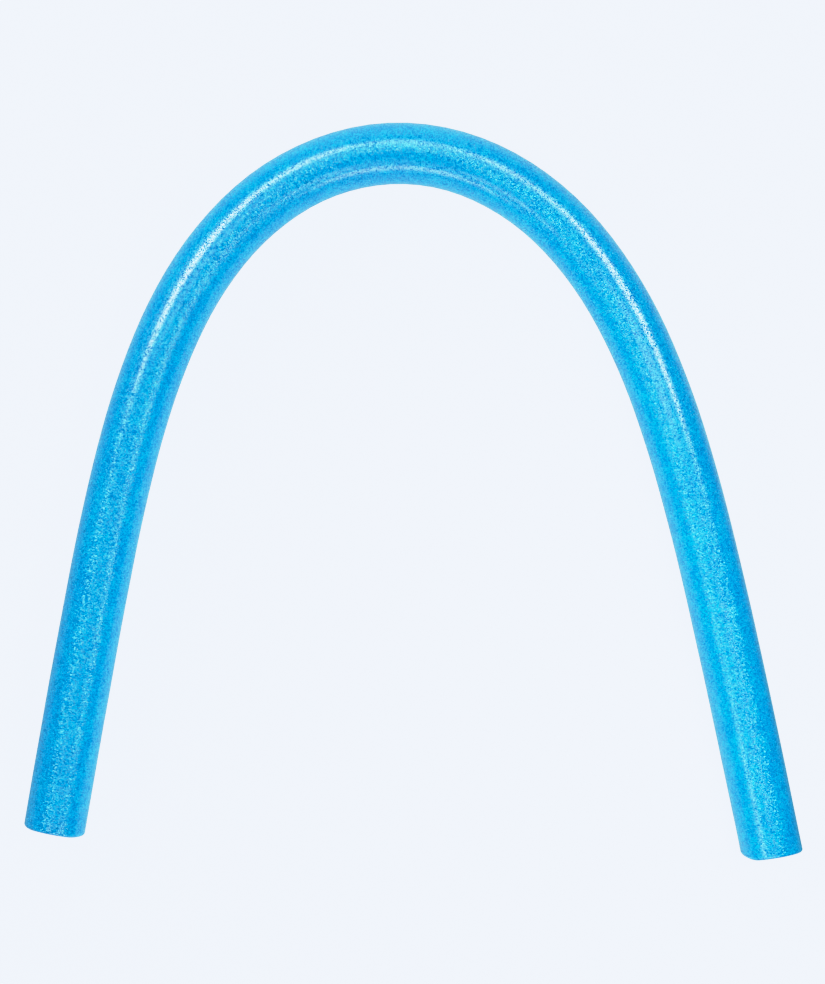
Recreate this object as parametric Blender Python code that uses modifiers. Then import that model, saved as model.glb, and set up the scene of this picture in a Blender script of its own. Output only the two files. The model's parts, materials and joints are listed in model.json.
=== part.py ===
"""Pool noodle: a float of extruded foam, lying flat on a floor and bent into an arch.

The noodle is one piece. It is extruded as a straight tube of closed-cell foam with a bore along its
middle, and cut to length with a knife. Here the straight tube is turned from its profile, and then bent
along the line that the foam takes when its ends are drawn together: tightest near the middle, and
straighter and straighter towards both ends.

Frame: +Z up, the floor is z = 0. The top of the arch points to +Y and the cut ends point to -Y.
The origin is the middle of the noodle's box, on the floor.
"""

import math

import bpy
import numpy as np

# Foam tube, as it leaves the extruder and the knife
NOODLE_LENGTH = 1.650
OUTER_DIAMETER = 0.060
BORE_DIAMETER = 0.020
OUTER_RIM_ROUNDING = 0.0025
BORE_RIM_ROUNDING = 0.0015

# Bend of the noodle: the top of the arch is a little to the left of the noodle's middle
APEX_LEFT_OF_MIDDLE = 0.0155
APEX_BEND_RADIUS = 0.1995
APEX_FROM_LEFT_END = NOODLE_LENGTH / 2 - APEX_LEFT_OF_MIDDLE

# Lean of each free end away from straight down, in degrees
LEFT_END_LEAN = 9.8
RIGHT_END_LEAN = 11.7

# How squarely the bend holds on before it fades into each leg
LEFT_FADE_POWER = 1.92
RIGHT_FADE_POWER = 1.77

# Fineness of the mesh, in counts
SIDES_AROUND = 32
RINGS_ALONG = 72
STEPS_IN_A_RIM = 3
GUIDE_KNOTS = 36
GUIDE_SAMPLES = 7001

# Foam finish
FOAM_BLUE = (0.010, 0.325, 0.800, 1.0)
FOAM_ROUGHNESS = 0.5
FOAM_METALLIC = 0.0

MERGE_DISTANCE = 0.00001


def empty_the_file():
    """Removes what a new file holds."""
    for item in list(bpy.data.objects):
        bpy.data.objects.remove(item, do_unlink=True)


def new_collection(name):
    """A collection under the scene's own."""
    collection = bpy.data.collections.new(name)
    bpy.context.scene.collection.children.link(collection)
    return collection


def foam_material():
    """Blue closed-cell foam with a soft skin."""
    material = bpy.data.materials.new("blue_foam")
    material.use_nodes = True
    shader = material.node_tree.nodes["Principled BSDF"]
    shader.inputs["Base Color"].default_value = FOAM_BLUE
    shader.inputs["Roughness"].default_value = FOAM_ROUGHNESS
    shader.inputs["Metallic"].default_value = FOAM_METALLIC
    material.diffuse_color = FOAM_BLUE
    return material


def fade_reach(lean, power):
    """Length over which one side's bend fades, so that the side turns all the way to its leg."""
    turn = math.radians(90 - lean)
    return turn * APEX_BEND_RADIUS / math.gamma(1 + 1 / power)


def curvature(places):
    """Curvature of the middle line at places given by their distance from the left end."""
    from_apex = places - APEX_FROM_LEFT_END
    left = (np.abs(from_apex) / fade_reach(LEFT_END_LEAN, LEFT_FADE_POWER)) ** LEFT_FADE_POWER
    right = (np.abs(from_apex) / fade_reach(RIGHT_END_LEAN, RIGHT_FADE_POWER)) ** RIGHT_FADE_POWER
    return np.exp(-np.where(from_apex < 0, left, right)) / APEX_BEND_RADIUS


def running_sum(values, places):
    """Integral of the values from the first place up to each place."""
    strips = (values[1:] + values[:-1]) / 2 * np.diff(places)
    return np.concatenate(([0.0], np.cumsum(strips)))


def middle_line():
    """Knots of the bent middle line with their unit directions, from the left end to the right end."""
    places = np.linspace(0.0, NOODLE_LENGTH, GUIDE_SAMPLES)
    turned = running_sum(curvature(places), places)
    heading = np.interp(APEX_FROM_LEFT_END, places, turned) - turned
    across = running_sum(np.cos(heading), places)
    ahead = running_sum(np.sin(heading), places)
    knots = np.linspace(0.0, NOODLE_LENGTH, GUIDE_KNOTS)
    points = [np.interp(knots, places, axis) for axis in (across, ahead)]
    directions = [np.interp(knots, places, axis) for axis in (np.cos(heading), np.sin(heading))]
    return np.stack(points, axis=1), np.stack(directions, axis=1)


def guide_curve(collection):
    """The bent middle line as a smooth curve that the straight tube is laid along."""
    points, directions = middle_line()
    handle = NOODLE_LENGTH / (GUIDE_KNOTS - 1) / 3
    data = bpy.data.curves.new("bend_guide", "CURVE")
    data.dimensions = "2D"
    data.resolution_u = 12
    data.render_resolution_u = 12
    spline = data.splines.new("BEZIER")
    spline.bezier_points.add(GUIDE_KNOTS - 1)
    for knot, point, direction in zip(spline.bezier_points, points, directions):
        knot.handle_left_type = "FREE"
        knot.handle_right_type = "FREE"
        knot.co = (*point, 0.0)
        knot.handle_left = (*(point - handle * direction), 0.0)
        knot.handle_right = (*(point + handle * direction), 0.0)
    guide = bpy.data.objects.new("bend_guide", data)
    guide.hide_render = True
    guide.display_type = "WIRE"
    collection.objects.link(guide)
    return guide


def rim_arc(centre_radius, centre_along, rounding, start_angle, end_angle):
    """Points of a quarter-round rim, as pairs of radius and place along the tube."""
    angles = np.radians(np.linspace(start_angle, end_angle, STEPS_IN_A_RIM + 1))
    radii = centre_radius + rounding * np.cos(angles)
    along = centre_along + rounding * np.sin(angles)
    return list(zip(radii, along))


def wall_run(radius, start, end):
    """Points of a straight wall between two rims, without its first and last."""
    stations = np.linspace(start, end, RINGS_ALONG + 1)[1:-1]
    return [(radius, station) for station in stations]


def tube_profile():
    """Closed outline of the tube's wall: down the skin, across one cut, up the bore, across the other."""
    skin = OUTER_DIAMETER / 2
    bore = BORE_DIAMETER / 2
    skin_top = NOODLE_LENGTH - OUTER_RIM_ROUNDING
    bore_top = NOODLE_LENGTH - BORE_RIM_ROUNDING
    skin_centre = skin - OUTER_RIM_ROUNDING
    bore_centre = bore + BORE_RIM_ROUNDING
    outline = rim_arc(skin_centre, skin_top, OUTER_RIM_ROUNDING, 90, 0)
    outline += wall_run(skin, skin_top, OUTER_RIM_ROUNDING)
    outline += rim_arc(skin_centre, OUTER_RIM_ROUNDING, OUTER_RIM_ROUNDING, 0, -90)
    outline += rim_arc(bore_centre, BORE_RIM_ROUNDING, BORE_RIM_ROUNDING, 270, 180)
    outline += wall_run(bore, BORE_RIM_ROUNDING, bore_top)
    outline += rim_arc(bore_centre, bore_top, BORE_RIM_ROUNDING, 180, 90)
    return outline


def straight_tube(collection):
    """The tube as extruded: its profile turned about the Z axis, with one flat side facing the floor."""
    half_side = math.pi / SIDES_AROUND
    outline = tube_profile()
    points = [(r * math.cos(half_side), r * math.sin(half_side), along) for r, along in outline]
    edges = [(i, (i + 1) % len(points)) for i in range(len(points))]
    mesh = bpy.data.meshes.new("foam_noodle")
    mesh.from_pydata(points, edges, [])
    noodle = bpy.data.objects.new("foam_noodle", mesh)
    collection.objects.link(noodle)
    turn = noodle.modifiers.new("turned profile", "SCREW")
    turn.axis = "Z"
    turn.angle = 2 * math.pi
    turn.steps = SIDES_AROUND
    turn.render_steps = SIDES_AROUND
    turn.use_smooth_shade = True
    turn.use_merge_vertices = True
    turn.merge_threshold = MERGE_DISTANCE
    return noodle


def bend_along(noodle, guide):
    """Lays the straight tube along the guide."""
    bend = noodle.modifiers.new("bend", "CURVE")
    bend.object = guide
    bend.deform_axis = "POS_Z"


def world_corners(item):
    """Lowest and highest corners of an object as its modifiers leave it."""
    shaped = item.evaluated_get(bpy.context.evaluated_depsgraph_get())
    mesh = shaped.to_mesh()
    places = np.empty(3 * len(mesh.vertices))
    mesh.vertices.foreach_get("co", places)
    shaped.to_mesh_clear()
    turn = np.array(item.matrix_world)
    places = places.reshape(-1, 3) @ turn[:3, :3].T + turn[:3, 3]
    return places.min(axis=0), places.max(axis=0)


def lay_on_the_floor(pieces, noodle, collection):
    """Moves the pieces together, so that the noodle rests on the floor with its box about the origin."""
    place = bpy.data.objects.new("floor_place", None)
    collection.objects.link(place)
    for piece in pieces:
        piece.parent = place
    bpy.context.view_layer.update()
    low, high = world_corners(noodle)
    middle = (low + high) / 2
    place.location = (-middle[0], -middle[1], -low[2])
    bpy.context.view_layer.update()


def build():
    """Models the noodle."""
    empty_the_file()
    parts = new_collection("pool_noodle")
    guides = new_collection("guides")
    guide = guide_curve(guides)
    noodle = straight_tube(parts)
    noodle.data.materials.append(foam_material())
    bend_along(noodle, guide)
    lay_on_the_floor([noodle, guide], noodle, guides)


build()
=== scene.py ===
"""Pool noodle of blue foam, bent into an arch on a pale studio floor and seen from straight above.

The frame holds the noodle's solid. Here it gets its foam: one tube with fine rings, soft knife-cut ends and
an open bore, bent along the same line as the solid, with the cells of its skin, its cut faces and its bore.
"""

import json
import math
from typing import NamedTuple

import bmesh
import bpy
import numpy as np
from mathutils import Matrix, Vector


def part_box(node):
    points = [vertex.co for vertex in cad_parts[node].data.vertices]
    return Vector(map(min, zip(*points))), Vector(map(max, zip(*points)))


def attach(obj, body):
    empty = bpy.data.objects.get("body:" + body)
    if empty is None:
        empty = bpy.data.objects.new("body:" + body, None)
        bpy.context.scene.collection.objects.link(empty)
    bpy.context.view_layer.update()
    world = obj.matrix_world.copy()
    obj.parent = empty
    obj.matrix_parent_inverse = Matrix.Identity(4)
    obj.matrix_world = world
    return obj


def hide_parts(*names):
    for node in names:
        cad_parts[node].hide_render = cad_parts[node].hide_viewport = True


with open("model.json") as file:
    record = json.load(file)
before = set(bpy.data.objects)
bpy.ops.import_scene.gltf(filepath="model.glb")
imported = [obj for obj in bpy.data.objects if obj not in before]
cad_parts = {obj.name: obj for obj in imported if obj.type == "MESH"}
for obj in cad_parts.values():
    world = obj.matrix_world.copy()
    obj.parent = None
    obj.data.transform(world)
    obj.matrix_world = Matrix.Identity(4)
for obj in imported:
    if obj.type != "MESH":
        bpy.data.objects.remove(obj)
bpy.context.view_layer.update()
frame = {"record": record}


class KnifeCut(NamedTuple):
    """One knife cut across the straight tube, with the way from it into the tube, which is 1 or -1.

    Its leans are its slopes into the tube, outwards and upwards. Each trim takes that many times the square
    of the distance past TRIM_FROM off the outer or the inner corner.
    """

    place: float
    into_tube: int
    outward_lean: float
    upward_lean: float
    outer_trim: float
    inner_trim: float


class Cells(NamedTuple):
    """The foam cells of one surface: their size, and their lean, crown and groove in parts of it.

    A crown below nought dishes the cells, and a groove below nought raises the walls between them.
    """

    size: float
    lean: float
    crown: float
    groove: float


class Softbox(NamedTuple):
    """A softbox that faces the noodle, placed by its angle from straight above and its compass angle.

    Its shine is what glossy skin mirrors, and its glow is the plain light that it casts.
    """

    name: str
    away: float
    azimuth: float
    width: float
    height: float
    shine: float = 0.0
    glow: float = 0.0
    distance: float = 2.6


# Foam tube, as in the solid
NOODLE_LENGTH = 1.650
OUTER_RADIUS = 0.030
BORE_RADIUS = 0.010

# Bend of the noodle, as in the solid, with the lean of each end in degrees
APEX_LEFT_OF_MIDDLE = 0.0155
APEX_FROM_LEFT_END = NOODLE_LENGTH / 2 - APEX_LEFT_OF_MIDDLE
APEX_BEND_RADIUS = 0.1995
LEFT_END_LEAN = 9.8
RIGHT_END_LEAN = 11.7
LEFT_FADE_POWER = 1.92
RIGHT_FADE_POWER = 1.77

# Guide that the tube is bent along
GUIDE_KNOTS = 36
GUIDE_SAMPLES = 7001
STEPS_BETWEEN_KNOTS = 24

# Rims that the knife leaves
OUTER_RIM_ROUNDING = 0.0030
BORE_RIM_ROUNDING = 0.0012
RIM_SEGMENTS = 5
ROUND_PROFILE = 0.5

# Mesh of the straight tube, with the distances at which points count as one or as on a ring, wall or level
SIDES_AROUND = 128
SKIN_RINGS = 559
BORE_RINGS = 119
CUT_FACE_RINGS = 7
MERGE_DISTANCE = 0.00001
RING_REACH = 0.00001
WALL_REACH = 0.0001
LEVEL_REACH = 0.000001

# Material slots of the tube, and how squarely a face looks along the tube to be part of a cut, in degrees
SKIN_SLOT = 0
CUT_SLOT = 1
BORE_SLOT = 2
CUT_FACE_LIMIT = 45

# Way along the straight tube's X axis to the side that ends up inside the arch
SQUEEZED_SIDE = -1

# Knife cuts at both ends, how far along the tube they are felt, and how far out from its middle trims start
LEFT_CUT = KnifeCut(
    place=0.0,
    into_tube=1,
    outward_lean=0.02,
    upward_lean=0.06,
    outer_trim=8.0,
    inner_trim=14.0,
)
RIGHT_CUT = KnifeCut(
    place=NOODLE_LENGTH,
    into_tube=-1,
    outward_lean=-0.045,
    upward_lean=0.06,
    outer_trim=0.0,
    inner_trim=34.0,
)
CUT_REACH = 0.030
TRIM_FROM = 0.016

# Unevenness of the foam, pushed out as much as in
ORANGE_PEEL_SIZE = 0.009
ORANGE_PEEL_DEPTH = 0.00006
ORANGE_PEEL_DETAIL = 1
SWELL_SIZE = 0.070
SWELL_DEPTH = 0.00045
SWELL_DETAIL = 0
OUT_AS_MUCH_AS_IN = 0.5

# Height at which the underside is flattened
UNDERSIDE_HEIGHT = 0.0001

# Cells of the skin, the cut faces and the bore
SKIN_CELLS = Cells(size=0.00086, lean=1.10, crown=0.0, groove=0.0)
CUT_CELLS = Cells(size=0.0016, lean=0.2, crown=-0.9, groove=-0.1)
BORE_CELLS = Cells(size=0.0022, lean=0.2, crown=0.3, groove=0.05)

# Cells lean mostly along the tube, and the skin's are drawn wider round the tube than along it
LEAN_WAY = (0.24, 0.24, 1.0)
SKIN_CELL_STRETCH = (0.74, 0.74, 1.0)
GROOVE_WIDTH_SHARE = 0.16
WALL_WIDTH_SHARE = 0.14
MIDDLE_OF_RANDOM = (0.5, 0.5, 0.5)

# Puckers of the squeezed side, which are full where the foam is squeezed by that share of its length
PUCKER_STRETCH = (0.35, 0.35, 1.0)
PUCKERS_PER_METRE = 620.0
PUCKER_DETAIL = 1.0
PUCKER_DEPTH = 0.0004
PUCKERS_FULL_SHARE = 0.12

# Colours of the skin: cells that differ in tone at random, from a deep blue that is partly painted shade to a
# light cyan that is partly a painted glint, and clouds where they are a little deeper
SKIN_DEEP_TONE_AND_SHADE = (0.0002, 0.205, 0.540, 1.0)
SKIN_LIGHT_TONE_AND_GLINT = (0.0050, 0.430, 1.000, 1.0)
SHADE_TO_GLINT_TONES = (0.10, 0.80)
CLOUDS_PER_METRE = 60.0
CLOUD_DETAIL = 2.0
CLOUD_EDGES = (0.35, 0.65)
CLOUD_HUE = 0.505
CLOUD_VALUE = 0.96

# Colours of the cut faces, whose dished open cells are darker than their walls as painted shade in the
# hollows, and of the bore
CUT_CELL_HOLLOW_SHADE = (0.006, 0.30, 0.74, 1.0)
CUT_WALL_COLOUR = (0.05, 0.46, 0.88, 1.0)
BORE_DEEP_CELL = (0.004, 0.27, 0.68, 1.0)
BORE_LIT_CELL = (0.006, 0.33, 0.78, 1.0)

# Gloss of the skin, the cut faces and the bore, and the tones of cells between which the skin's coat sets in
COATED_TONES = (0.12, 0.50)
SKIN_GLOSS = {
    "Coat Roughness": 0.20,
    "Roughness": 0.20,
    "Specular IOR Level": 0.50,
    "Specular Tint": (0.33, 1.0, 1.0, 1.0),
    "Sheen Weight": 0.22,
    "Sheen Roughness": 0.50,
    "Sheen Tint": (0.15, 1.0, 1.0, 1.0),
}
CUT_GLOSS = {"Roughness": 0.62}
BORE_GLOSS = {"Roughness": 0.55}

# Floor and sky: as the camera sees them, as they light the noodle and as its gloss mirrors them
FLOOR_RADIUS = 4.0
FLOOR_SIDES = 128
FLOOR_DROP = 0.0006
FLOOR_COLOUR = (0.884, 0.913, 0.965, 1.0)
FLOOR_GLOSS = {"Roughness": 0.9, "Specular IOR Level": 0.0}
FLOOR_SEEN_COLOUR = (1.18, 1.335, 1.68, 1.0)
FLOOR_SEEN_GLOW = 0.95
FLOOR_LIGHT = 2.75
FLOOR_MIRRORED = 0.42
SKY_LIGHT = 0.36
SKY_MIRRORED = 0.30

# Floor beside the noodle, which lights it less: from where to where the light falls off, and to which share
SHADE_STARTS = 0.30
SHADE_ENDS = 0.42
LEFT_LIGHT_SHARE = 0.55
RIGHT_LIGHT_SHARE = 0.25

# Softboxes: those of the long streaks, weak reflectors, small and weak ones overhead, and plain light alone
SOFTBOXES = (
    Softbox("left_softbox", away=41, azimuth=140, width=1.15, height=1.00, shine=19.0),
    Softbox("left_softbox_end", away=44, azimuth=112, width=0.7, height=0.75, shine=11.0),
    Softbox("right_softbox", away=43, azimuth=35, width=1.15, height=0.90, shine=18.0),
    Softbox("right_softbox_end", away=42, azimuth=62, width=0.7, height=0.75, shine=8.0),
    Softbox("top_reflector", away=42, azimuth=85, width=1.1, height=0.75, shine=4.7),
    Softbox("low_reflector", away=58, azimuth=268, width=2.9, height=0.75, shine=7.7),
    Softbox("low_right_reflector", away=36, azimuth=298, width=0.8, height=0.60, shine=2.9),
    Softbox("low_left_reflector", away=36, azimuth=230, width=0.8, height=0.60, shine=4.9),
    Softbox("right_overhead", away=26.5, azimuth=29.5, width=0.19, height=0.30, shine=3.9, distance=0.570),
    Softbox("left_overhead", away=33.1, azimuth=130.8, width=0.26, height=0.16, shine=2.3, distance=0.609),
    Softbox("back_overhead", away=27, azimuth=90, width=1.8, height=0.60, shine=0.3),
    Softbox("front_overhead", away=34, azimuth=270, width=1.8, height=0.60, shine=1.0),
    Softbox("left_glow", away=60, azimuth=150, width=1.2, height=1.0, glow=12.6),
    Softbox("low_glow", away=75, azimuth=270, width=2.0, height=1.0, glow=4.4),
    Softbox("top_glow", away=75, azimuth=90, width=2.0, height=1.0, glow=6.8),
    Softbox("near_glow", away=28, azimuth=335, width=0.5, height=0.5, glow=17.6, distance=1.2),
)

# Photo frame, in its pixels, and the camera's place over the noodle
PHOTO_HEIGHT = 984
NOODLE_PIXELS = 1681
FOCAL_PIXELS = 2440
CAMERA_RAISED_SHARE = 1.0015
CAMERA_OFF_MIDDLE = (-0.0007, 0.0004)
SENSOR_HEIGHT = 24.0
FARTHEST_SEEN = 50.0

# Film: how far its reds are held down, the brightest light that it holds, and its soft shoulder
RED_HELD_DOWN = 0.028
BRIGHTEST_LIGHT = 2.0
FILM_SHOULDER = (
    (0.3, 0.3),
    (0.6, 0.6),
    (0.75, 0.72),
    (0.9, 0.795),
    (1.05, 0.845),
    (1.25, 0.895),
    (1.6, 0.955),
)
CURVE_OF_ALL_COLOURS = 3


def deselect():
    """Leaves nothing selected, in object mode."""
    bpy.ops.object.select_all(action="DESELECT")


def apply_modifier(item, modifier):
    """Applies one modifier, as by hand."""
    deselect()
    bpy.context.view_layer.objects.active = item
    item.select_set(True)
    bpy.ops.object.modifier_apply(modifier=modifier.name)


def fade_reach(lean, power):
    """Length over which one side's bend fades, so that the side turns all the way to its leg."""
    return math.radians(90 - lean) * APEX_BEND_RADIUS / math.gamma(1 + 1 / power)


def curvature(places):
    """Curvature of the middle line at places given by their distance from the left end."""
    from_apex = places - APEX_FROM_LEFT_END
    left = (np.abs(from_apex) / fade_reach(LEFT_END_LEAN, LEFT_FADE_POWER)) ** LEFT_FADE_POWER
    right = (np.abs(from_apex) / fade_reach(RIGHT_END_LEAN, RIGHT_FADE_POWER)) ** RIGHT_FADE_POWER
    return np.exp(-np.where(from_apex < 0, left, right)) / APEX_BEND_RADIUS


def running_sum(values, places):
    """Integral of the values from the first place up to each place."""
    strips = (values[1:] + values[:-1]) / 2 * np.diff(places)
    return np.concatenate(([0.0], np.cumsum(strips)))


def middle_line():
    """Knots of the bent middle line with their unit directions, from the left end to the right end."""
    places = np.linspace(0.0, NOODLE_LENGTH, GUIDE_SAMPLES)
    turned = running_sum(curvature(places), places)
    heading = np.interp(APEX_FROM_LEFT_END, places, turned) - turned
    across = running_sum(np.cos(heading), places)
    ahead = running_sum(np.sin(heading), places)
    knots = np.linspace(0.0, NOODLE_LENGTH, GUIDE_KNOTS)
    points = [np.interp(knots, places, axis) for axis in (across, ahead)]
    directions = [np.interp(knots, places, axis) for axis in (np.cos(heading), np.sin(heading))]
    return np.stack(points, axis=1), np.stack(directions, axis=1)


def left_end_middle():
    """Middle of the solid's left cut end, at half the solid's height."""
    left_end = next(m for m in frame["record"]["mounts"] if m["name"] == "left_cut_end")
    middle = Vector(left_end["pos_m"])
    middle.z = sum(corner[2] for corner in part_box("foam_noodle")) / 2
    return middle


def bend_guide():
    """The bent middle line, laid where the solid's left cut end is."""
    points, directions = middle_line()
    handle = NOODLE_LENGTH / (GUIDE_KNOTS - 1) / 3
    data = bpy.data.curves.new("bend_guide", "CURVE")
    data.dimensions = "2D"
    data.resolution_u = STEPS_BETWEEN_KNOTS
    spline = data.splines.new("BEZIER")
    spline.bezier_points.add(GUIDE_KNOTS - 1)
    for knot, point, direction in zip(spline.bezier_points, points, directions):
        knot.handle_left_type = "FREE"
        knot.handle_right_type = "FREE"
        knot.co = (*point, 0.0)
        knot.handle_left = (*(point - handle * direction), 0.0)
        knot.handle_right = (*(point + handle * direction), 0.0)
    guide = bpy.data.objects.new("bend_guide", data)
    guide.location = left_end_middle()
    bpy.context.scene.collection.objects.link(guide)
    return guide


def select_edges(wanted):
    """Selects the edges that pass the test in the mesh in edit mode, and nothing else."""
    mesh = bpy.context.edit_object.data
    bm = bmesh.from_edit_mesh(mesh)
    bm.select_mode = {"EDGE"}
    for edge in bm.edges:
        edge.select = wanted(edge)
    bm.select_flush_mode()
    bmesh.update_edit_mesh(mesh)


def draw_out(rise, scale):
    """Extrudes the selected ring along the tube, and then widens or narrows it by the scale."""
    bpy.ops.mesh.extrude_region_move(TRANSFORM_OT_translate={"value": (0.0, 0.0, rise)})
    bpy.ops.transform.resize(value=(scale, scale, 1.0), center_override=(0.0, 0.0, 0.0))


def draw_the_wall():
    """Draws the ring at the bore's mouth outwards, up the skin, inwards and back down the bore."""
    widening = OUTER_RADIUS / BORE_RADIUS
    bpy.ops.mesh.select_all(action="SELECT")
    draw_out(0.0, widening)
    draw_out(NOODLE_LENGTH, 1.0)
    draw_out(0.0, 1.0 / widening)
    draw_out(-NOODLE_LENGTH, 1.0)
    bpy.ops.mesh.select_all(action="SELECT")
    bpy.ops.mesh.remove_doubles(threshold=MERGE_DISTANCE)
    bpy.ops.mesh.normals_make_consistent(inside=False)


def on_ring(edge, radius, height):
    """Whether an edge is part of the ring at that radius and height."""
    return all(
        abs(math.hypot(v.co.x, v.co.y) - radius) < RING_REACH and abs(v.co.z - height) < RING_REACH
        for v in edge.verts
    )


def round_rim(radius, height, rounding):
    """Rounds one rim of a cut."""
    select_edges(lambda edge: on_ring(edge, radius, height))
    bpy.ops.mesh.bevel(offset=rounding, segments=RIM_SEGMENTS, profile=ROUND_PROFILE)


def ring_up(radius, rings):
    """Divides the long edges of one wall into rings."""
    long_enough = NOODLE_LENGTH / 2
    select_edges(
        lambda edge: edge.calc_length() > long_enough
        and abs(math.hypot(edge.verts[0].co.x, edge.verts[0].co.y) - radius) < WALL_REACH
    )
    bpy.ops.mesh.subdivide(number_cuts=rings, quadcorner="STRAIGHT_CUT")


def ring_the_cut_faces():
    """Divides the flat of both cut ends into rings."""
    long_enough = (OUTER_RADIUS - BORE_RADIUS) / 2
    select_edges(
        lambda edge: edge.calc_length() > long_enough
        and abs(edge.verts[0].co.z - edge.verts[1].co.z) < LEVEL_REACH
    )
    bpy.ops.mesh.subdivide(number_cuts=CUT_FACE_RINGS, quadcorner="STRAIGHT_CUT")


def straight_tube():
    """The tube as extruded and cut, standing on its left end."""
    deselect()
    bpy.ops.mesh.primitive_circle_add(vertices=SIDES_AROUND, radius=BORE_RADIUS, fill_type="NOTHING")
    tube = bpy.context.object
    tube.name = tube.data.name = "foam_tube"
    bpy.ops.object.mode_set(mode="EDIT")
    draw_the_wall()
    for height in (0.0, NOODLE_LENGTH):
        round_rim(OUTER_RADIUS, height, OUTER_RIM_ROUNDING)
        round_rim(BORE_RADIUS, height, BORE_RIM_ROUNDING)
    ring_up(OUTER_RADIUS, SKIN_RINGS)
    ring_up(BORE_RADIUS, BORE_RINGS)
    ring_the_cut_faces()
    bpy.ops.object.mode_set(mode="OBJECT")
    return tube


def name_the_surfaces(tube):
    """Gives the skin, the cut ends and the bore their material slots."""
    half_way = (OUTER_RADIUS + BORE_RADIUS) / 2
    for face in tube.data.polygons:
        if abs(face.normal.z) > math.sin(math.radians(CUT_FACE_LIMIT)):
            face.material_index = CUT_SLOT
        elif math.hypot(face.center.x, face.center.y) < half_way:
            face.material_index = BORE_SLOT
        else:
            face.material_index = SKIN_SLOT
        face.use_smooth = True


def places_of(mesh):
    """The mesh's points as an array."""
    places = np.empty(3 * len(mesh.vertices))
    mesh.vertices.foreach_get("co", places)
    return places.reshape(-1, 3)


def put_places(mesh, places):
    """Moves the mesh's points to the array's places."""
    mesh.vertices.foreach_set("co", places.ravel())
    mesh.update()


def keep_straight_places(tube):
    """Keeps each point's place on the straight tube, for patterns that follow the bend."""
    held = tube.data.attributes.new("straight_place", "FLOAT_VECTOR", "POINT")
    held.data.foreach_set("vector", places_of(tube.data).ravel())


def keep_squeeze(tube):
    """Keeps how much the bend squeezes the foam at each point; a stretch is below nought."""
    places = places_of(tube.data)
    held = tube.data.attributes.new("squeeze", "FLOAT", "POINT")
    held.data.foreach_set("value", SQUEEZED_SIDE * places[:, 0] * curvature(places[:, 2]))


def uneven(tube, name, size, depth, detail):
    """Pushes the surface in and out by a cloud pattern."""
    pattern = bpy.data.textures.new(name, "CLOUDS")
    pattern.noise_scale = size
    pattern.noise_depth = detail
    push = tube.modifiers.new(name, "DISPLACE")
    push.texture = pattern
    push.texture_coords = "LOCAL"
    push.strength = depth
    push.mid_level = OUT_AS_MUCH_AS_IN
    apply_modifier(tube, push)


def lean_the_cuts(tube):
    """Leans each cut a little off square and trims its corners, as a hand-held knife leaves it."""
    places = places_of(tube.data)
    for cut in (LEFT_CUT, RIGHT_CUT):
        nearness = np.clip(1 - np.abs(places[:, 2] - cut.place) / CUT_REACH, 0, 1)
        felt = nearness * nearness * (3 - 2 * nearness)
        outer_corner = np.clip(places[:, 0] - TRIM_FROM, 0, None) ** 2
        inner_corner = np.clip(-places[:, 0] - TRIM_FROM, 0, None) ** 2
        leant = cut.outward_lean * places[:, 0] + cut.upward_lean * places[:, 1]
        taken_off = leant + cut.outer_trim * outer_corner + cut.inner_trim * inner_corner
        places[:, 2] += felt * cut.into_tube * taken_off
    put_places(tube.data, places)


def bend(tube, guide):
    """Lays the tube along the guide and leaves it in place."""
    tube.location = guide.location
    bpy.context.view_layer.update()
    along = tube.modifiers.new("bend", "CURVE")
    along.object = guide
    along.deform_axis = "POS_Z"
    apply_modifier(tube, along)
    deselect()
    tube.select_set(True)
    bpy.ops.object.transform_apply(location=True, rotation=True, scale=True)
    bpy.data.objects.remove(guide)


def rest_on_the_floor(tube):
    """Flattens the underside where the foam's weight rests on the floor."""
    places = places_of(tube.data)
    places[:, 2] = np.maximum(places[:, 2], UNDERSIDE_HEIGHT)
    put_places(tube.data, places)


def foam_noodle():
    """Models the whole noodle."""
    guide = bend_guide()
    tube = straight_tube()
    name_the_surfaces(tube)
    keep_straight_places(tube)
    keep_squeeze(tube)
    uneven(tube, "orange_peel", ORANGE_PEEL_SIZE, ORANGE_PEEL_DEPTH, ORANGE_PEEL_DETAIL)
    uneven(tube, "swell", SWELL_SIZE, SWELL_DEPTH, SWELL_DETAIL)
    lean_the_cuts(tube)
    bend(tube, guide)
    rest_on_the_floor(tube)
    return tube


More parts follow.
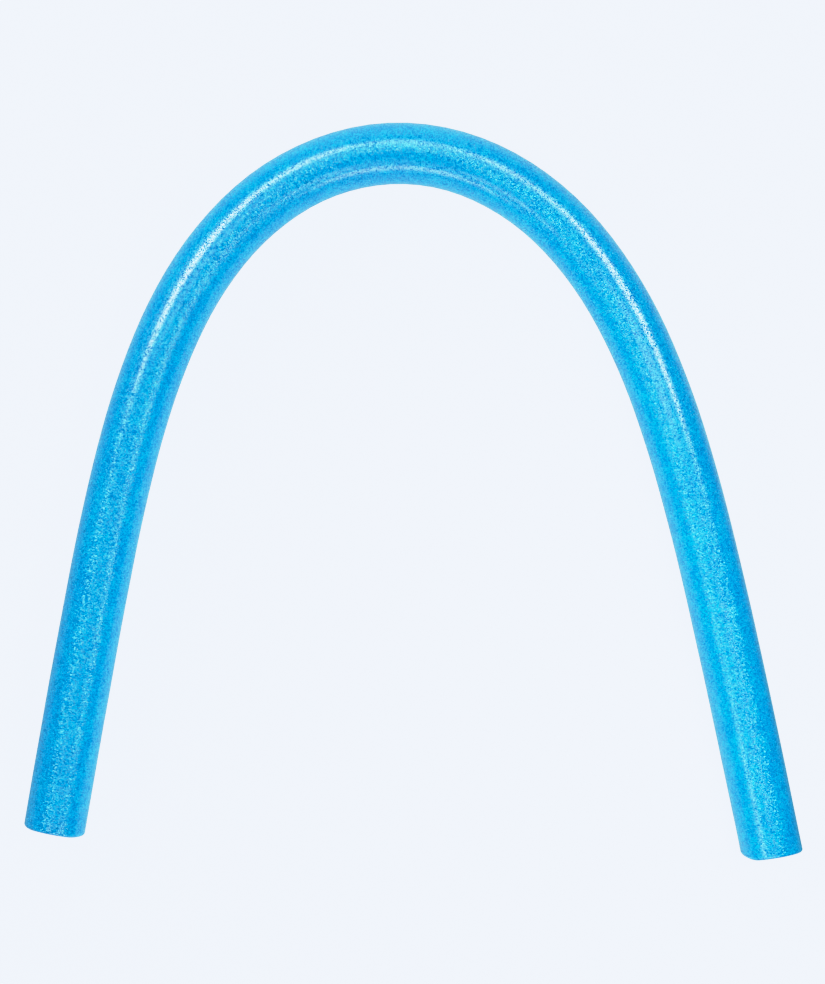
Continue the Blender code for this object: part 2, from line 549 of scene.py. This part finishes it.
class Nodes:
    """Adds and joins nodes of one tree."""

    def __init__(self, tree):
        self.tree = tree

    def add(self, kind, **settings):
        """A new node with its settings."""
        node = self.tree.nodes.new(kind)
        for key, value in settings.items():
            setattr(node, key, value)
        return node

    def join(self, start, end):
        """Joins two sockets."""
        self.tree.links.new(start, end)

    def feed(self, sockets, values):
        """Gives each socket its value, or joins it where the value is a socket itself."""
        for socket, value in zip(sockets, values):
            if isinstance(value, bpy.types.NodeSocket):
                self.join(value, socket)
            else:
                socket.default_value = value

    def maths(self, operation, *values):
        """Works out a number from others."""
        node = self.add("ShaderNodeMath", operation=operation)
        self.feed(node.inputs, values)
        return node.outputs["Value"]

    def vectors(self, operation, *values, scale=None):
        """Works out a vector from others, or a number where two are multiplied into one."""
        node = self.add("ShaderNodeVectorMath", operation=operation)
        self.feed(node.inputs, values)
        if scale is not None:
            self.join(scale, node.inputs["Scale"])
        return node.outputs["Value" if operation == "DOT_PRODUCT" else "Vector"]

    def ranged(self, value, low, high, to_low=0.0, to_high=1.0):
        """A value moved smoothly from one range to another, and held at its ends."""
        node = self.add("ShaderNodeMapRange", interpolation_type="SMOOTHSTEP")
        self.join(value, node.inputs["Value"])
        node.inputs["From Min"].default_value = low
        node.inputs["From Max"].default_value = high
        node.inputs["To Min"].default_value = to_low
        node.inputs["To Max"].default_value = to_high
        return node.outputs["Result"]

    def noise(self, place, scale, detail):
        """A soft cloud value."""
        node = self.add("ShaderNodeTexNoise")
        node.inputs["Scale"].default_value = scale
        node.inputs["Detail"].default_value = detail
        self.join(place, node.inputs["Vector"])
        return node.outputs["Fac"]

    def blend(self, share, first, second):
        """Mixes two colours, each a value or a socket."""
        mix = self.add("ShaderNodeMix", data_type="RGBA")
        self.join(share, mix.inputs["Factor"])
        colours = [socket for socket in mix.inputs if socket.type == "RGBA"]
        self.feed(colours, (first, second))
        return next(socket for socket in mix.outputs if socket.type == "RGBA")

    def kept(self, name):
        """The node of a value that the mesh keeps for each point."""
        return self.add("ShaderNodeAttribute", attribute_type="GEOMETRY", attribute_name=name)

    def bump(self, height, depth, under=None):
        """Turns a height into a normal, on top of another one if that is given."""
        node = self.add("ShaderNodeBump")
        node.inputs["Strength"].default_value = 1.0
        node.inputs["Distance"].default_value = depth
        self.join(height, node.inputs["Height"])
        if under is not None:
            self.join(under, node.inputs["Normal"])
        return node.outputs["Normal"]


def foam_cells_group():
    """Shared pattern of closed foam cells: leaning crowned tops, grooves between them and a tone for each."""
    group = bpy.data.node_groups.new("foam_cells", "ShaderNodeTree")
    group.interface.new_socket("Place", in_out="INPUT", socket_type="NodeSocketVector")
    for name in ("Cell Size", "Lean", "Crown", "Groove"):
        group.interface.new_socket(name, in_out="INPUT", socket_type="NodeSocketFloat")
    for name in ("Height", "Wall", "Tone"):
        group.interface.new_socket(name, in_out="OUTPUT", socket_type="NodeSocketFloat")
    n = Nodes(group)
    given = n.add("NodeGroupInput").outputs
    result = n.add("NodeGroupOutput").inputs
    scaled = n.vectors("SCALE", given["Place"], scale=n.maths("DIVIDE", 1.0, given["Cell Size"]))
    cells = n.add("ShaderNodeTexVoronoi", feature="F1")
    walls = n.add("ShaderNodeTexVoronoi", feature="DISTANCE_TO_EDGE")
    for pattern in (cells, walls):
        pattern.inputs["Scale"].default_value = 1.0
        n.join(scaled, pattern.inputs["Vector"])
    from_middle = n.vectors("SUBTRACT", scaled, cells.outputs["Position"])
    leaning = n.vectors("SUBTRACT", cells.outputs["Color"], MIDDLE_OF_RANDOM)
    leaning = n.vectors("MULTIPLY", leaning, LEAN_WAY)
    leant = n.maths("MULTIPLY", n.vectors("DOT_PRODUCT", from_middle, leaning), given["Lean"])
    round_off = n.maths("MULTIPLY", cells.outputs["Distance"], cells.outputs["Distance"])
    crowned = n.maths("MULTIPLY", round_off, given["Crown"])
    risen = n.ranged(walls.outputs["Distance"], 0.0, GROOVE_WIDTH_SHARE)
    grooved = n.maths("MULTIPLY", risen, given["Groove"])
    n.join(n.maths("ADD", n.maths("SUBTRACT", leant, crowned), grooved), result["Height"])
    n.join(n.ranged(walls.outputs["Distance"], 0.0, WALL_WIDTH_SHARE, 1.0, 0.0), result["Wall"])
    split = n.add("ShaderNodeSeparateColor")
    n.join(cells.outputs["Color"], split.inputs["Color"])
    n.join(split.outputs["Red"], result["Tone"])
    return group


def cells_node(n, group, place, cells):
    """The shared cells with one surface's values."""
    node = n.add("ShaderNodeGroup", node_tree=group)
    n.join(place, node.inputs["Place"])
    node.inputs["Cell Size"].default_value = cells.size
    node.inputs["Lean"].default_value = cells.lean
    node.inputs["Crown"].default_value = cells.crown
    node.inputs["Groove"].default_value = cells.groove
    return node.outputs


def new_material(name, gloss):
    """A material with only its shader, which has that gloss."""
    material = bpy.data.materials.new(name)
    material.use_nodes = True
    shader = material.node_tree.nodes["Principled BSDF"]
    for socket, value in gloss.items():
        shader.inputs[socket].default_value = value
    return material, Nodes(material.node_tree), shader


def squeezed_puckers(n, place):
    """Short ripples across the tube, where the bend squeezes the foam."""
    stretched = n.add("ShaderNodeMapping")
    stretched.inputs["Scale"].default_value = PUCKER_STRETCH
    n.join(place, stretched.inputs["Vector"])
    ripples = n.noise(stretched.outputs["Vector"], PUCKERS_PER_METRE, PUCKER_DETAIL)
    squeezed = n.ranged(n.kept("squeeze").outputs["Fac"], 0.0, PUCKERS_FULL_SHARE)
    return n.maths("MULTIPLY", ripples, squeezed)


def skin_colour(n, place, tone):
    """Cells that differ in tone at random, the deeper ones partly painted shade and the lighter ones partly
    painted glints, with soft clouds where both are a little deeper.
    """
    # painted shade and painted glints: on top of their random tone, deep cells stand in for shaded pits and
    # lit cells for sparkling ones
    cell_colour = n.blend(n.ranged(tone, *SHADE_TO_GLINT_TONES), SKIN_DEEP_TONE_AND_SHADE, SKIN_LIGHT_TONE_AND_GLINT)
    cloudy = n.ranged(n.noise(place, CLOUDS_PER_METRE, CLOUD_DETAIL), *CLOUD_EDGES)
    deeper = n.add("ShaderNodeHueSaturation")
    deeper.inputs["Hue"].default_value = CLOUD_HUE
    deeper.inputs["Value"].default_value = CLOUD_VALUE
    n.join(cell_colour, deeper.inputs["Color"])
    return n.blend(cloudy, cell_colour, deeper.outputs["Color"])


def skin_material(group):
    """The extruder's thin skin over flattened cells.

    Its tinted gloss leans from cell to cell, its clear coat is on some of the cells and doesn't lean, and a
    thin sheen lights its rims.
    """
    material, n, shader = new_material("foam_skin", SKIN_GLOSS)
    place = n.kept("straight_place").outputs["Vector"]
    drawn_wide = n.vectors("MULTIPLY", place, SKIN_CELL_STRETCH)
    cells = cells_node(n, group, drawn_wide, SKIN_CELLS)
    rippled = n.bump(squeezed_puckers(n, place), PUCKER_DEPTH)
    n.join(n.bump(cells["Height"], SKIN_CELLS.size, rippled), shader.inputs["Normal"])
    n.join(skin_colour(n, place, cells["Tone"]), shader.inputs["Base Color"])
    n.join(n.ranged(cells["Tone"], *COATED_TONES), shader.inputs["Coat Weight"])
    return material


def cut_material(group):
    """The knife-cut ends, where the cells are open and their hollows are darkened by painted shade."""
    material, n, shader = new_material("foam_cut", CUT_GLOSS)
    cells = cells_node(n, group, n.kept("straight_place").outputs["Vector"], CUT_CELLS)
    n.join(n.bump(cells["Height"], CUT_CELLS.size), shader.inputs["Normal"])
    # painted shade: the open cells' hollows are coloured darker than the walls between them
    n.join(n.blend(cells["Wall"], CUT_CELL_HOLLOW_SHADE, CUT_WALL_COLOUR), shader.inputs["Base Color"])
    return material


def bore_material(group):
    """The bore's wall, which the extruder's core pin leaves duller than the skin."""
    material, n, shader = new_material("foam_bore", BORE_GLOSS)
    cells = cells_node(n, group, n.kept("straight_place").outputs["Vector"], BORE_CELLS)
    n.join(n.bump(cells["Height"], BORE_CELLS.size), shader.inputs["Normal"])
    n.join(n.blend(cells["Tone"], BORE_DEEP_CELL, BORE_LIT_CELL), shader.inputs["Base Color"])
    return material


def dress(tube):
    """Gives the noodle its three finishes, in the order of their slots."""
    group = foam_cells_group()
    for material in (skin_material(group), cut_material(group), bore_material(group)):
        tube.data.materials.append(material)


def brightness_by_ray(n, seen, cast, mirrored, shade=1.0):
    """One strength as the camera sees it, one for the light it casts and one for its mirror image."""
    ray = n.add("ShaderNodeLightPath").outputs
    unseen = n.maths("MULTIPLY_ADD", ray["Is Glossy Ray"], mirrored - cast, cast)
    shaded = n.maths("MULTIPLY", unseen, shade)
    from_shaded = n.maths("MULTIPLY", n.maths("SUBTRACT", seen, shaded), ray["Is Camera Ray"])
    return n.maths("ADD", shaded, from_shaded)


def colour_by_ray(n):
    """The pale colour of floor and sky, and the one that the film shows as the photo's background."""
    seen = n.add("ShaderNodeLightPath").outputs["Is Camera Ray"]
    return n.blend(seen, FLOOR_COLOUR, FLOOR_SEEN_COLOUR)


def floor_shade(n):
    """Falls off to the left and to the right of the noodle, where the floor lights it less."""
    place = n.add("ShaderNodeSeparateXYZ")
    n.join(n.add("ShaderNodeTexCoord").outputs["Object"], place.inputs["Vector"])
    right_of_noodle = n.ranged(place.outputs["X"], SHADE_STARTS, SHADE_ENDS, 1.0, RIGHT_LIGHT_SHARE)
    left_of_noodle = n.ranged(place.outputs["X"], -SHADE_ENDS, -SHADE_STARTS, LEFT_LIGHT_SHARE, 1.0)
    return n.maths("MULTIPLY", right_of_noodle, left_of_noodle)


def floor_material():
    """A plain pale sheet, lit through from below as a packshot table is, so that shadows on it stay faint."""
    material, n, shader = new_material("pale_floor", FLOOR_GLOSS)
    unlit_share = 1 - FLOOR_SEEN_GLOW
    shader.inputs["Base Color"].default_value = [c * unlit_share for c in FLOOR_COLOUR[:3]] + [1.0]
    n.join(colour_by_ray(n), shader.inputs["Emission Color"])
    glow = brightness_by_ray(n, FLOOR_SEEN_GLOW, FLOOR_LIGHT, FLOOR_MIRRORED, floor_shade(n))
    n.join(glow, shader.inputs["Emission Strength"])
    material.cycles.emission_sampling = "NONE"
    return material


def studio_floor():
    """A plain pale floor, just under the noodle."""
    deselect()
    bpy.ops.mesh.primitive_circle_add(
        vertices=FLOOR_SIDES, radius=FLOOR_RADIUS, fill_type="NGON", location=(0.0, 0.0, -FLOOR_DROP)
    )
    floor = bpy.context.object
    floor.name = "studio_floor"
    floor.data.materials.append(floor_material())


def hang_softbox(box):
    """Hangs one softbox, as a lamp for its shine and a lamp for its glow."""
    tilt = math.radians(box.away)
    turn = math.radians(box.azimuth)
    way = Vector((math.sin(tilt) * math.cos(turn), math.sin(tilt) * math.sin(turn), math.cos(tilt)))
    for part, brightness in (("shine", box.shine), ("glow", box.glow)):
        if not brightness:
            continue
        data = bpy.data.lights.new(f"{box.name}_{part}", "AREA")
        data.shape = "ELLIPSE"
        data.size = box.width
        data.size_y = box.height
        data.energy = brightness * math.pi * box.width * box.height * math.pi / 4
        lamp = bpy.data.objects.new(f"{box.name}_{part}", data)
        lamp.location = way * box.distance
        lamp.rotation_euler = way.to_track_quat("Z", "Y").to_euler()
        lamp.visible_camera = False
        lamp.visible_glossy = part == "shine"
        lamp.visible_diffuse = part == "glow"
        bpy.context.scene.collection.objects.link(lamp)


def studio_sky():
    """A pale room round the floor, of the floor's colour."""
    world = bpy.data.worlds.new("studio")
    world.use_nodes = True
    n = Nodes(world.node_tree)
    background = world.node_tree.nodes["Background"]
    n.join(colour_by_ray(n), background.inputs["Color"])
    n.join(brightness_by_ray(n, 1.0, SKY_LIGHT, SKY_MIRRORED), background.inputs["Strength"])
    bpy.context.scene.world = world


def studio_light():
    """All the softboxes, and the pale room."""
    for box in SOFTBOXES:
        hang_softbox(box)
    studio_sky()


def photo_camera():
    """Looks straight down with the photo's framing."""
    pixels_per_metre = NOODLE_PIXELS / NOODLE_LENGTH
    height = CAMERA_RAISED_SHARE * FOCAL_PIXELS / pixels_per_metre + OUTER_RADIUS
    data = bpy.data.cameras.new("photo_camera")
    data.sensor_fit = "VERTICAL"
    data.sensor_height = SENSOR_HEIGHT
    data.lens = SENSOR_HEIGHT * FOCAL_PIXELS / PHOTO_HEIGHT
    data.clip_end = FARTHEST_SEEN
    camera = bpy.data.objects.new("photo_camera", data)
    camera.location = (*CAMERA_OFF_MIDDLE, height)
    bpy.context.scene.collection.objects.link(camera)
    bpy.context.scene.camera = camera


def photo_finish():
    """Colours as a product photo has them: plain, with the reds of its blues held down."""
    view = bpy.context.scene.view_settings
    view.view_transform = "Standard"
    view.use_curve_mapping = True
    film = view.curve_mapping
    film.black_level = (RED_HELD_DOWN, 0.0, 0.0)
    film.white_level = (BRIGHTEST_LIGHT,) * 3
    for light, shown in FILM_SHOULDER:
        film.curves[CURVE_OF_ALL_COLOURS].points.new(light / BRIGHTEST_LIGHT, shown)
    film.update()


photo_camera()
noodle = foam_noodle()
dress(noodle)
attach(noodle, "root")
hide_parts("foam_noodle")
studio_floor()
studio_light()
photo_finish()
